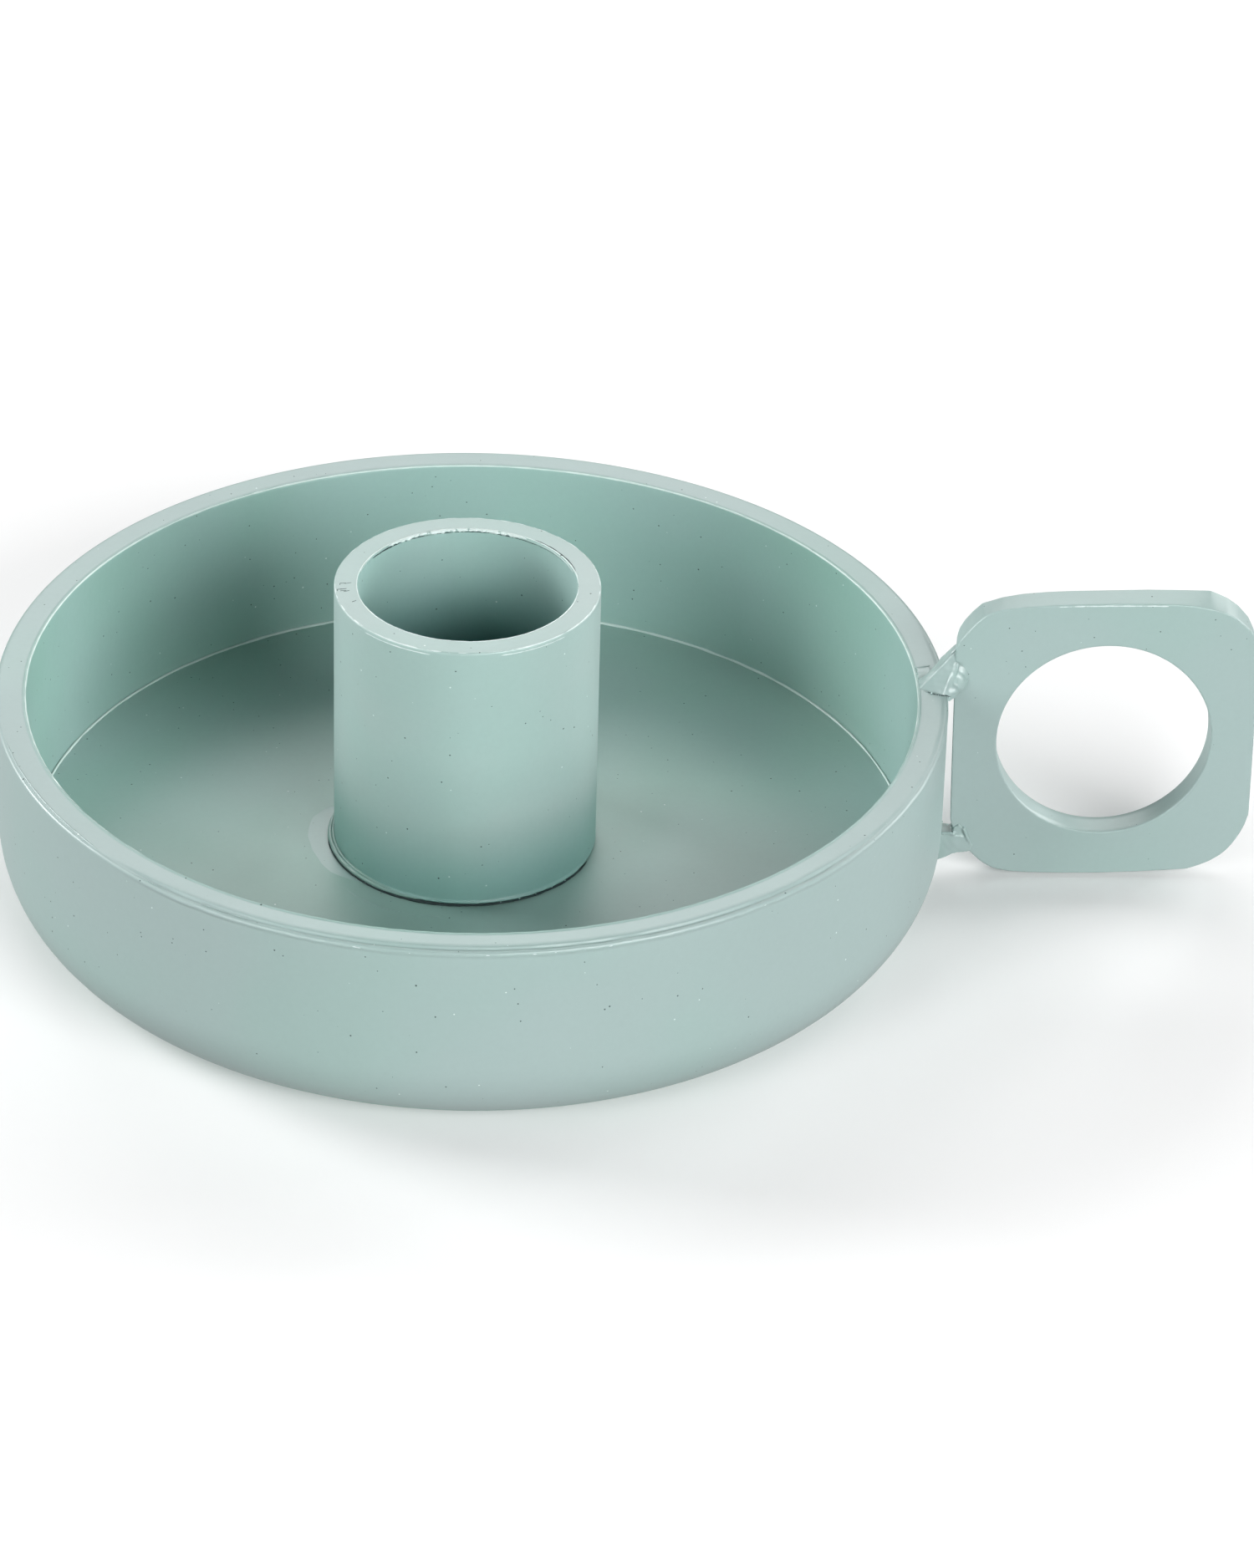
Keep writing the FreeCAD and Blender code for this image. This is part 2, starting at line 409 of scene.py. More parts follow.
satin = paint("sage_satin_paint", SAGE)
tube_paint = paint("sage_tube_paint", TUBE_SAGE)
weld_paint = paint("sage_weld_paint", SAGE, 0.36, 1.0, pits=0.04, grains=0.2, drift=200.0)
pale_paint = paint("pale_thin_paint", PALE_SAGE, 0.34, 0.8, pits=0.3, grains=0.3, drift=120.0)
worn_and_highlight_paint = paint("worn_edge_and_highlight_paint", WORN_AND_HIGHLIGHT_SAGE, 0.36, 0.8, pits=0.2, grains=0.3, drift=200.0)
shade_and_scratch_paint = paint("painted_shade_and_scratch_dark", SHADE_AND_SCRATCH_DARK, 0.85, pits=0.0, grains=0.05)
paints = satin, tube_paint, weld_paint, pale_paint, worn_and_highlight_paint, shade_and_scratch_paint
print("paints", [material.name for material in paints])

# %% [markdown]
# ## Turning a profile
# The dish and the tube are both bodies of revolution: half a cross-section, turned about an axis.
# A lathe would do it with one cut, and here one Geometry Nodes tree does: a grid has one column
# for each step round the axis and one row for each point of the profile, and every grid point
# goes to its profile point, turned by its column's angle. It works for any profile.

# %% Tree that turns a profile
def make_turning_tree():
    """The profile mesh comes in as points in the XZ plane, and goes out turned about Z."""
    tree, put = new_shape_tree("turned_body", {"Steps": "Int"})
    profile = {"Geometry": put["Geometry"]}
    rows = add_node(tree, "GeometryNodeAttributeDomainSize", profile)[0]
    grid = {"Vertices X": put["Steps"] + 1.0, "Vertices Y": rows}
    grid = add_node(tree, "GeometryNodeMeshGrid", grid)[0]
    index = add_node(tree, "GeometryNodeInputIndex")[0]
    column = maths("FLOOR", (index + 0.5) / rows)
    place = add_node(tree, "GeometryNodeInputPosition")[0]
    point = {**profile, "Value": place, "Index": index - column * rows}
    point = add_node(tree, "GeometryNodeSampleIndex", point, data_type="FLOAT_VECTOR")[0]
    point = add_node(tree, "ShaderNodeSeparateXYZ", {0: point})
    angle = column / put["Steps"] * math.tau
    x, y = point[0] * maths("COSINE", angle), point[0] * maths("SINE", angle)
    turned = add_node(tree, "ShaderNodeCombineXYZ", {0: x, 1: y, 2: point[2]})[0]
    moved = add_node(tree, "GeometryNodeSetPosition", {"Geometry": grid, "Position": turned})[0]
    closed = {"Geometry": moved, "Distance": 0.0001 * MM}
    closed = add_node(tree, "GeometryNodeMergeByDistance", closed)[0]
    finish_shape_tree(tree, closed, put["Material"])
    return tree


turning_tree = make_turning_tree()


# %% Helpers for profiles
def arc(centre, radius, start, end, steps):
    """Points of an arc in the XZ plane, angles in degrees from +X, both ends included."""
    angles = np.radians(np.linspace(start, end, steps + 1))
    return [(centre[0] + radius * math.cos(a), centre[1] + radius * math.sin(a)) for a in angles]


def turn(profile, steps, material):
    """A profile of (radius, height) points in millimetres, turned into a closed mesh."""
    mesh = bpy.data.meshes.new("profile")
    points = [(radius * MM, 0, height * MM) for radius, height in profile]
    mesh.from_pydata(points, [(i, i + 1) for i in range(len(points) - 1)], [])
    return run_tree(turning_tree, mesh, {"Steps": steps, "Material": material})


def face_outwards(mesh):
    """Points every face of a closed mesh outwards."""
    work = bmesh.new()
    work.from_mesh(mesh)
    bmesh.ops.recalc_face_normals(work, faces=work.faces)
    work.to_mesh(mesh)
    work.free()
    return mesh


print("ready: arc, turn and face_outwards")


# %% [markdown]
# ## Relief
# Paint on a hand-finished piece is never quite even. Relief moves the points of a turned mesh by
# a few hundredths of a millimetre: slow swells, a crumbly edge, a groove that comes and goes. A
# sum of a few sine waves with fixed random phases gives an unevenness that closes on itself after
# one turn.

# %% Helpers for relief
def wander(angles, seed, slowest, fastest):
    """An uneven line round a circle, about -1 to 1, made of waves from slowest to fastest."""
    generator = np.random.default_rng(seed)
    waves = np.unique(generator.integers(slowest, fastest, 24))
    phases = generator.uniform(0, math.tau, len(waves))
    total = sum(np.cos(wave * angles + phase) for wave, phase in zip(waves, phases))
    return total / math.sqrt(len(waves))


def window(angles, start, end, soft):
    """1 between two angles in degrees, and 0 outside, with soft ends."""
    middle, half = math.radians((start + end) / 2), math.radians(abs(end - start) / 2)
    away = np.abs((angles - middle + math.pi) % math.tau - math.pi)
    edge = np.clip((half - away) / math.radians(soft) + 0.5, 0, 1)
    return edge * edge * (3 - 2 * edge)


def hump(values, middle, width):
    """A smooth hump of height 1 about a middle."""
    return np.exp(-(((values - middle) / width) ** 2))


def round_axis(points):
    """How far points lie from the Z axis, and their angles round it."""
    return np.hypot(points[:, 0], points[:, 1]), np.arctan2(points[:, 1], points[:, 0])


def read_points(mesh):
    """A mesh's points in millimetres."""
    points = np.zeros(len(mesh.vertices) * 3)
    mesh.vertices.foreach_get("co", points)
    return points.reshape(-1, 3) / MM


def write_points(mesh, points):
    """Puts points in millimetres back in the mesh."""
    mesh.vertices.foreach_set("co", (points * MM).ravel())
    mesh.update()


print("ready: wander, window and hump")

# %% [markdown]
# ## The dish
# The real dish is a shallow cup with a straight wall about 3 mm thick, a flat rim and a large
# round corner below. Paint has gathered on the rim: a thin ridge on its inner edge, a rounded
# lip on its outer edge with a shallow groove inside it along the front, and at the left a fine
# raised line like a crack in the film. The wall meets the floor in a small fillet. The section
# has a plain outer edge all round, and the relief turns it into the lipped one along the front,
# where every point of the plain edge has its partner in the lipped one.

# %% Dish profile
WALL_RADIUS = RIM_RADIUS - 0.07
FILLET = 0.4
PLAIN_EDGE = [
    (47.93, 22.25), (47.93, 22.36), (47.928, 22.44), (47.92, 22.51), (47.9, 22.57), (47.87, 22.63),
    (47.83, 22.68), (47.78, 22.72), (47.72, 22.75), (47.66, 22.77), (47.6, 22.785), (47.54, 22.795),
    (47.46, 22.8), (47.35, 22.8), (47.22, 22.8), (47.08, 22.8),
]
LIPPED_EDGE = [
    (47.9, 21.95), (47.95, 22.05), (47.99, 22.15), (48.0, 22.26), (47.98, 22.37), (47.93, 22.46),
    (47.85, 22.53), (47.75, 22.56), (47.66, 22.56), (47.57, 22.52), (47.48, 22.49), (47.39, 22.5),
    (47.31, 22.57), (47.25, 22.67), (47.18, 22.76), (47.08, 22.8),
]
INNER_RIDGE = [
    (45.17, 22.81), (45.08, 22.86), (45.0, 22.87), (44.92, 22.85), (44.85, 22.77), (44.81, 22.65),
    (BORE, 22.5),
]


def dish_profile():
    """Half the dish's cross-section, from the middle of its underside to that of its floor."""
    underside = [(radius, 0.0) for radius in (0, 8, 16, 24, 31, 36)]
    corner = arc((WALL_RADIUS - CORNER, CORNER), CORNER, -90, 0, 16)
    wall = [(WALL_RADIUS, height) for height in (12, 15, 18, 20, 21.2, 21.7)]
    top = [(radius, RIM_HEIGHT) for radius in (46.6, 46.0, 45.6, 45.35, 45.2)]
    inside = [(BORE, height) for height in (21.5, 19, 16, 13, 10, 7.5, 6.2)]
    fillet = arc((BORE - FILLET, FLOOR + FILLET), FILLET, 0, -90, 5)
    floor = [(radius, FLOOR) for radius in (43.7, 43, 41, 38, 34, 30, 26, 22, 18, 14, 9, 4, 0)]
    return underside + corner + wall + PLAIN_EDGE + top + INNER_RIDGE + inside + fillet + floor


dish_mesh = face_outwards(turn(dish_profile(), 780, satin))
print("the dish's profile has", len(dish_profile()), "points")


# %% Dish relief
def shape_edge(radius, height, angle):
    """Turns the plain outer edge of the rim into the lipped one along the front.

    The lip's lower edge is crumbly too, most of all at the front."""
    lipped = window(angle, -133, -40, 22) + 0.3 * window(angle, -40, 12, 14)
    lipped = np.clip(lipped + 0.12 * wander(angle, 3, 12, 70) * (lipped > 0.05), 0, 1)
    crumbs = 0.05 * wander(angle, 5, 60, 330) * window(angle, -120, -20, 30)
    for (plain_r, plain_h), (lip_r, lip_h) in zip(PLAIN_EDGE, LIPPED_EDGE):
        row = (np.abs(radius - plain_r) < 0.003) & (np.abs(height - plain_h) < 0.003)
        share = lipped[row]
        low = math.exp(-(((lip_h - 22.2) / 0.12) ** 2)) * (lip_r > 47.85)
        radius[row] = plain_r + (lip_r - plain_r) * share - low * np.clip(crumbs[row] * share, 0, 1)
        height[row] = plain_h + (lip_h - plain_h) * share + low * crumbs[row] * share
    return radius, height


def dish_relief(points):
    """The unevenness of the dish's paint, in millimetres."""
    radius, angle = round_axis(points)
    rows = points[:, 2].copy()
    radius, height = shape_edge(radius, rows.copy(), angle)
    ridge = hump(radius, 44.95, 0.12) * (rows > 22.6)
    height += 0.02 * ridge * wander(angle, 7, 20, 150)
    radius += 0.015 * wander(angle, 13, 2, 9) * (rows > 10) * (rows < 21.5)
    height = np.minimum(height, RIM_HEIGHT + 0.12)
    return np.column_stack([radius * np.cos(angle), radius * np.sin(angle), height])


write_points(dish_mesh, dish_relief(read_points(dish_mesh)))
print("the dish's mesh has", len(dish_mesh.vertices), "points")

# %% [markdown]
# ## The candle tube
# The tube is a sawn length of steel pipe. Its top face is flat, with rounded outer edges and a
# rough inner edge where the saw left a burr that the paint only half covers. At the left the
# face has a few short nicks. Paint hangs in a thin ledge round the foot, over a narrow gap whose
# shadow is painted by a nearly black bead with the foot weld.
# The tube is shaped about the Z axis first, where its relief can go by angle, and then moved to
# its own axis beside it.

# %% Tube profile
LEDGE_START = 13.36


def tube_profile():
    """The pipe's wall as a closed outline, from the inside of its foot outwards and round."""
    foot = [(SOCKET_RADIUS, FLOOR), (11.6, FLOOR), (11.9, FLOOR)]
    foot += [(11.92, 4.98), (12.0, 5.06), (13.2, 5.06)]
    flange = [(13.4, 5.07), (13.5, 5.12), (13.54, 5.19), (13.52, 5.27), (13.44, 5.34)]
    flange += [(LEDGE_START, 5.42)]
    outside = [(TUBE_RADIUS, height) for height in (5.6, 7, 10, 14, 19, 24, 29, 32, 33.2, 33.8)]
    edge = arc((TUBE_RADIUS - 0.3, TUBE_TOP - 0.3), 0.3, 0, 90, 7)
    top = [(radius, TUBE_TOP) for radius in np.linspace(12.95, 11.2, 17)]
    burr = [(11.1, 34.49), (11.04, 34.45), (11.0, 34.38), (SOCKET_RADIUS, 34.28)]
    heights = (34.0, 33.5, 32.5, 30, 26, 21, 16, 11, 7.5, 5.6)
    inside = [(SOCKET_RADIUS, height) for height in heights]
    return foot + flange + outside + edge + top + burr + inside + foot[:1]


tube_mesh = face_outwards(turn(tube_profile(), 900, tube_paint))
print("the tube's profile has", len(tube_profile()), "points")


# %% Tube relief
def tube_relief(points):
    """Nicks, the uneven inner edge and the slow swell of the pipe's wall, in millimetres.

    The ledge at the foot is pushed back at the rear, and the top is kept 0.07 low, so that
    the burrs and ridges that lie on it stay under the tube's full height."""
    radius, angle = round_axis(points)
    height = points[:, 2].copy()
    edge = hump(height, TUBE_TOP - 0.05, 0.35) * hump(radius, SOCKET_RADIUS, 0.18)
    radius -= edge * (0.035 * wander(angle, 21, 12, 60) + 0.02 * wander(angle, 22, 80, 260))
    generator = np.random.default_rng(23)
    for middle in generator.uniform(163, 204, 9):
        near, far = sorted(generator.uniform(11.5, 13.0, 2))
        along = np.clip((radius - near) / 0.1, 0, 1) * np.clip((far - radius) / 0.1, 0, 1)
        height -= 0.06 * along * window(angle, middle - 0.3, middle + 0.3, 0.5) * (height > 34)
    top = np.clip((height - 34.2) / 0.2, 0, 1)
    height += 0.02 * top * wander(angle, 25, 3, 14)
    low = points[:, 2]
    radius += 0.02 * wander(angle, 27, 3, 9) * (low > 5.3) * (radius > 12)
    ledge = (low > 5.03) * (low < 5.45) * (radius > LEDGE_START)
    radius -= (radius - LEDGE_START) * ledge * window(angle, -28, 150, 16)
    flange = hump(low, 5.2, 0.12) * (radius > 13.37)
    radius += 0.035 * flange * wander(angle, 29, 12, 140)
    height = np.minimum(height, TUBE_TOP - 0.07)
    return np.column_stack([radius * np.cos(angle), radius * np.sin(angle), height])


tube_points = tube_relief(read_points(tube_mesh))
tube_points[:, :2] += TUBE_AXIS
write_points(tube_mesh, tube_points)
print("the tube's mesh has", len(tube_points), "points")

# %% [markdown]
# ## A bead that follows a path
# Burrs, paint ridges and weld beads are all the same thing: a thin uneven rope of metal or paint
# that follows an edge. One Geometry Nodes tree makes it from any curve. It varies the rope's
# thickness and its path with noise, and draws both ends out to a point.

# %% Tree for an uneven bead
def make_bead_tree():
    """A curve comes in and a lumpy, tapering rope with closed ends goes out."""
    labels = "Step", "Thickness", "Unevenness", "Wander", "Lump Scale", "Taper", "Seed"
    tree, put = new_shape_tree("uneven_bead", {label: "Float" for label in labels})
    fine = {"Curve": put["Geometry"], "Length": put["Step"]}
    fine = add_node(tree, "GeometryNodeResampleCurve", fine, mode="LENGTH")[0]
    place = add_node(tree, "GeometryNodeInputPosition")[0]
    noise = {"Vector": place, "W": put["Seed"], "Scale": put["Lump Scale"], "Detail": 2.0}
    noise = add_node(tree, "ShaderNodeTexNoise", noise, noise_dimensions="4D")
    centred = vector_maths("SUBTRACT", noise["Color"], {1: (0.5, 0.5, 0.5)})
    offset = vector_maths("SCALE", centred, {"Scale": put["Wander"]})
    moved = add_node(tree, "GeometryNodeSetPosition", {"Geometry": fine, "Offset": offset})[0]
    along = add_node(tree, "GeometryNodeSplineParameter")["Factor"]
    ends = maths("MINIMUM", maths("MINIMUM", along, 1.0 - along) / put["Taper"], 1.0)
    ends = maths("POWER", maths("MAXIMUM", ends, 0.0001), 0.5)
    thick = maths("MAXIMUM", (noise[0] - 0.5) * put["Unevenness"] + 1.0, 0.15)
    thick = maths("MAXIMUM", thick * ends, 0.02) * put["Thickness"]
    circle = add_node(tree, "GeometryNodeCurvePrimitiveCircle", {"Resolution": 8, "Radius": 1.0})[0]
    rope = {"Curve": moved, "Profile Curve": circle, "Scale": thick, "Fill Caps": True}
    rope = add_node(tree, "GeometryNodeCurveToMesh", rope)[0]
    finish_shape_tree(tree, rope, put["Material"])
    return tree


bead_tree = make_bead_tree()


# %% Helpers for beads
def path_curve(points):
    """An open poly curve through points in millimetres."""
    curve = bpy.data.curves.new("path", "CURVE")
    curve.dimensions = "3D"
    spline = curve.splines.new("POLY")
    spline.points.add(len(points) - 1)
    flat = [v for x, y, z in points for v in (x * MM, y * MM, z * MM, 1)]
    spline.points.foreach_set("co", flat)
    return curve


def path_round(places, axis=(0, 0)):
    """A path through (angle in degrees, radius, height) places round an upright axis."""
    angles, radii, heights = np.array(places).T
    count = max(12, int(3 * abs(angles[-1] - angles[0])))
    fine = np.linspace(angles[0], angles[-1], count)
    steps = zip(np.radians(fine), np.interp(fine, angles, radii), np.interp(fine, angles, heights))
    return [(axis[0] + r * math.cos(a), axis[1] + r * math.sin(a), h) for a, r, h in steps]


def tube_ring(radius, height, start, end):
    """A level path round the tube's own axis, angles in degrees."""
    angles = np.radians(np.linspace(start, end, max(8, int(abs(end - start)))))
    x, y = TUBE_AXIS
    return [(x + radius * math.cos(a), y + radius * math.sin(a), height) for a in angles]


def bead(points, thickness, seed, material, unevenness=1.2, wander_by=0.5, lump=1.2, taper=0.1,
         pace=0.6):
    """A bead along points, all in millimetres.

    Lump is the size of its lumps and taper the share of it that each end draws out over.
    Wander and pace, which is the length of its steps, count in thicknesses."""
    values = {
        "Step": pace * thickness * MM, "Thickness": thickness * MM, "Unevenness": unevenness,
        "Wander": wander_by * thickness * MM, "Lump Scale": 1 / (lump * MM), "Taper": taper,
        "Seed": float(seed), "Material": material,
    }
    return run_tree(bead_tree, path_curve(points), values)


def mesh_from(work, name):
    """A new mesh from a bmesh, which ends there."""
    mesh = bpy.data.meshes.new(name)
    work.to_mesh(mesh)
    work.free()
    return mesh


def join(meshes):
    """One mesh from several that keeps each one's own paint."""
    work = bmesh.new()
    for mesh in meshes:
        work.from_mesh(mesh)
    whole = mesh_from(work, "joined")
    paints = list(dict.fromkeys(mesh.materials[0] for mesh in meshes))
    for material in paints:
        whole.materials.append(material)
    slots = [paints.index(mesh.materials[0]) for mesh in meshes for _ in range(len(mesh.polygons))]
    whole.polygons.foreach_set("material_index", slots)
    return whole


def add_piece(name, meshes, top=None):
    """A finished piece: its meshes as one object, cut down to its top where one is given."""
    mesh = join(meshes)
    if top is not None:
        points = read_points(mesh)
        points[:, 2] = np.minimum(points[:, 2], top)
        write_points(mesh, points)
    print(name, "has", len(mesh.vertices), "points and", len(mesh.polygons), "faces")
    mesh.name = name
    return add_object(name, face_outwards(mesh))


print("ready: paths, beads and pieces")

# %% [markdown]
# ## Lines on the rim and the floor
# Where paint is stretched over an edge it wears thin and catches the light. Nearly white lines
# follow the rim's inner edge and the fillet round the floor, and a broken one lies under the lip
# along the front: they paint the highlight on those edges as well as the thin film. At the left,
# paint has pulled into a crack with a small hook at its end, and a few flakes follow it. The lines
# are given by angle round the dish, radius and height. They could be a colour in the paint, but a
# raised line catches the light on one side and shades the other, so each is a bead.

# %% The dish with its lines
CHIPS = [(-128, 47.88, 22.3), (-84, 47.89, 22.28), (-38, 47.88, 22.28)]
INNER_EDGE = [
    (-28, 44.9, 22.79), (60, 44.88, 22.79), (118, 44.9, 22.78), (190, 44.88, 22.79),
    (236, 44.9, 22.78),
]
FLOOR_SEAM = [(-34, 44.56, 4.98), (20, 44.58, 4.98), (100, 44.56, 4.98), (205, 44.57, 4.98)]
CRACK = [
    (-176, 47.75, 22.62), (-170, 47.62, 22.7), (-165.7, 47.5, 22.75), (-158.3, 47.42, 22.77),
    (-151.4, 47.36, 22.78), (-145.4, 47.36, 22.78), (-140.6, 47.52, 22.74), (-139.7, 47.62, 22.71),
]
HOOK = [(-142.2, 47.75, 22.62), (-140.8, 47.78, 22.6), (-139.8, 47.7, 22.66)]
FLAKES = [(-138.5, 47.62, 22.7), (-135, 47.68, 22.66), (-131, 47.66, 22.66), (-128.5, 47.6, 22.68)]
LAST_FLAKE = [(-124, 47.62, 22.66), (-117, 47.6, 22.66)]

# The nearly white rows paint the highlight along the rim's edges and the floor's fillet, as well as
# thin worn film.
# Each row ends with what bead takes: thickness, seed, paint, unevenness, wander, lump, taper, pace.
DISH_LINES = [
    (CHIPS, 0.06, 19, worn_and_highlight_paint, 3.4, 0.8, 0.7, 0.25, 2.0),
    (INNER_EDGE, 0.09, 20, worn_and_highlight_paint, 1.6, 0.5, 2.5, 0.2, 4.0),
    (FLOOR_SEAM, 0.125, 21, worn_and_highlight_paint, 1.5, 1.0, 3.0, 0.1, 4.0),
    (CRACK, 0.085, 15, satin, 0.9, 0.7, 2.0, 0.05),
    (HOOK, 0.05, 16, satin, 1.0),
    (FLAKES, 0.05, 17, satin, 1.8, 1.5, 1.0, 0.3),
    (LAST_FLAKE, 0.04, 18, satin, 1.8, 2.0),
]
dish_lines = [bead(path_round(places), *look) for places, *look in DISH_LINES]
dish = add_piece("painted_dish", [dish_mesh] + dish_lines)

# %% [markdown]
# ## Burrs on the tube
# The saw left crumbs of steel on the far inner edge of the tube's top, and the paint stands off
# them in pale and dark lines: painted highlights and painted shade along the burrs. The outer edge
# is bright with worn paint and a painted highlight, with two bright chips under it in front.
# Beside the nicks at the left are a few fine scratches that go down to the dark. Each crumb could
# be set by hand, but a bead with strong unevenness breaks up into crumbs by itself.

# %% The tube with its burrs
# Nearly white rows paint highlights, as well as worn film; nearly black rows paint shade along the
# burrs.
# Radius, height, first and last angle of each ring, then what bead takes.
BURRS = [
    ((10.98, 34.30, 62, 126), 0.15, 31, satin, 2.4, 1.2, 0.5),
    ((10.99, 34.36, 118, 168), 0.08, 33, satin, 1.6),
    ((10.97, 34.24, 13, 66), 0.12, 35, satin, 1.2, 0.8, 2.0),
    ((11.08, 34.42, 0, 356), 0.06, 32, worn_and_highlight_paint, 2.0, 0.8, 0.9, 0.02, 2.0),
    ((10.93, 34.36, 56, 136), 0.17, 34, worn_and_highlight_paint, 3.4, 1.6, 0.5, 0.1, 0.45),
    ((10.98, 34.12, 20, 150), 0.06, 38, shade_and_scratch_paint, 2.0, 2.0, 0.8, 0.1, 1.0),
    ((11.22, 34.42, 14, 52), 0.045, 40, shade_and_scratch_paint, 1.5, 1.5, 1.0, 0.1, 1.5),
    ((13.22, 34.36, -200, 158), 0.07, 36, worn_and_highlight_paint, 1.8, 0.6, 1.5, 0.02, 2.0),
    ((13.31, 33.98, -148, -104), 0.06, 37, worn_and_highlight_paint, 2.4, 1.0, 0.8),
    ((13.31, 34.00, -78, -44), 0.06, 39, worn_and_highlight_paint, 2.4, 1.0, 0.8),
]
burrs = [bead(tube_ring(*ring), *look) for ring, *look in BURRS]

draw = np.random.default_rng(24).uniform
for middle, near in zip(draw(168, 200, 7), draw(11.5, 12.3, 7)):
    ends = [(middle, near, 34.42), (middle + draw(-2, 2), near + draw(0.5, 0.9), 34.42)]
    scratch = path_round(ends, TUBE_AXIS)
    burrs.append(bead(scratch, 0.032, int(middle), shade_and_scratch_paint, unevenness=1.5, pace=1.0))

tube = add_piece("painted_tube", [tube_mesh] + burrs, TUBE_TOP)

# %% [markdown]
# ## The finger plate
# The plate is a square of 3 mm steel with a round hole for a finger. Its corners were cut off and
# ground round by hand, so no two are alike. The grinding ran a little slanted at the top right,
# and the left edge is a little out of square. Its front and rear outlines are therefore two lists
# of (across, height) points, and the rear one takes from the front one what is the same. Rings
# of points run from the hole to the front outline, over the edge to the rear one, and back
# through the hole. A block with a hole cut in it would be quicker, but its front and rear would
# be alike, and the cut would leave long thin faces that shade badly.

# %% Plate outline
FRONT_OUTLINE = [
    (-10.7, 0.62), (-9.2, 0.27), (-7.1, 0.09), (-4.0, -0.03), (0.0, -0.08), (4.0, 0.0), (7.0, 0.12),
    (9.2, 0.25), (10.4, 0.66), (11.5, 1.16), (12.5, 1.83), (13.2, 2.5), (13.9, 3.46), (14.5, 4.55),
    (14.9, 5.5), (15.24, 6.7), (15.26, 9.0), (15.3, 14.0), (15.3, 22.0), (15.27, 26.2),
    (14.95, 27.5), (14.25, 28.5), (12.9, 29.78), (11.9, 30.35), (10.6, 30.8), (9.0, 31.18),
    (7.1, 31.42), (4.3, 31.52), (0.0, 31.6), (-3.6, 31.58), (-6.2, 31.49), (-8.6, 31.34),
    (-10.7, 31.12), (-11.9, 30.75), (-12.6, 30.3), (-13.5, 29.4), (-14.3, 28.4), (-15.0, 27.5),
    (-15.4, 26.6), (-15.42, 20.0), (-15.42, 12.0), (-15.38, 6.6), (-15.12, 5.6), (-14.55, 4.5),
    (-13.9, 3.5), (-13.1, 2.5), (-12.3, 1.66), (-11.6, 1.1),
]
BACK_OUTLINE = FRONT_OUTLINE[:19] + [
    (15.26, 25.6), (15.0, 27.0), (14.4, 28.35), (13.3, 29.68), (12.2, 30.53), (11.2, 31.05),
    (10.4, 31.42), (7.0, 31.54), (4.0, 31.62),
] + FRONT_OUTLINE[28:31] + [(-8.6, 31.3), (-10.6, 30.95), (-11.8, 30.55)] + FRONT_OUTLINE[34:37] + [
    (-14.8, 27.5), (-15.04, 26.6), (-15.04, 20.0), (-15.04, 12.0), (-15.04, 6.6), (-14.9, 5.6),
] + FRONT_OUTLINE[43:]


def reach_of(outline, angles):
    """How far an outline lies from the plate's middle, at each angle."""
    across, up = np.array(outline).T
    up = up - PLATE_HEIGHT / 2
    around = np.arctan2(up, across) % math.tau
    order = np.argsort(around)
    around, across, up = around[order], across[order], up[order]
    after = np.searchsorted(around, np.asarray(angles) % math.tau) % len(around)
    x, y = across[after - 1], up[after - 1]
    side_x, side_y = across[after] - x, up[after] - y
    return (x * side_y - y * side_x) / (np.cos(angles) * side_y - np.sin(angles) * side_x)


def ground_reach(outline, angles, softness=4):
    """The reach of an outline with its corners eased, as a grinding wheel leaves them."""
    fine = np.linspace(0, math.tau, 1440, endpoint=False)
    reach = reach_of(outline, fine)
    for _ in range(softness):
        reach = (np.roll(reach, 1) + 2 * reach + np.roll(reach, -1)) / 4
    fine, reach = np.append(fine, math.tau), np.append(reach, reach[0])
    return np.interp(np.asarray(angles) % math.tau, fine, reach)


def on_plate(across, depth, height):
    """A point given along, behind and up the plate's front face, in the dish's frame."""
    lean = Matrix.Rotation(-PLATE_LEAN, 3, "X")
    turned = Matrix.Rotation(-PLATE_TURN, 3, "Y") @ Vector((across, depth, height))
    return Vector(PLATE_FOOT) + lean @ turned


def round_plate(angles, reach, depth):
    """Points round the plate's middle, in millimetres, at one depth."""
    middle = PLATE_HEIGHT / 2
    spokes = zip(angles, reach + 0 * angles)
    return [on_plate(r * math.cos(a), depth, middle + r * math.sin(a)) for a, r in spokes]


print("the outline has", len(FRONT_OUTLINE), "points in front and", len(BACK_OUTLINE), "behind")


# %% Plate mesh
EDGE_ROUND, HOLE_ROUND = 0.13, 0.10


def loops_mesh(name, points, loops, size, ring, material):
    """A mesh from loops of points, each loop of one size, where the last joins the first of a
    ring. Otherwise a flat face closes either end."""
    faces = []
    for loop in range(loops if ring else loops - 1):
        near, far = loop * size, (loop + 1) % loops * size
        for k in range(size):
            ahead = (k + 1) % size
            faces.append((near + k, far + k, far + ahead, near + ahead))
    if not ring:
        faces += [tuple(range(size)), tuple(range((loops - 1) * size, loops * size))]
    mesh = bpy.data.meshes.new(name)
    mesh.from_pydata([Vector(point) * MM for point in points], [], faces)
    mesh.polygons.foreach_set("use_smooth", [True] * len(faces))
    return coat(mesh, material)


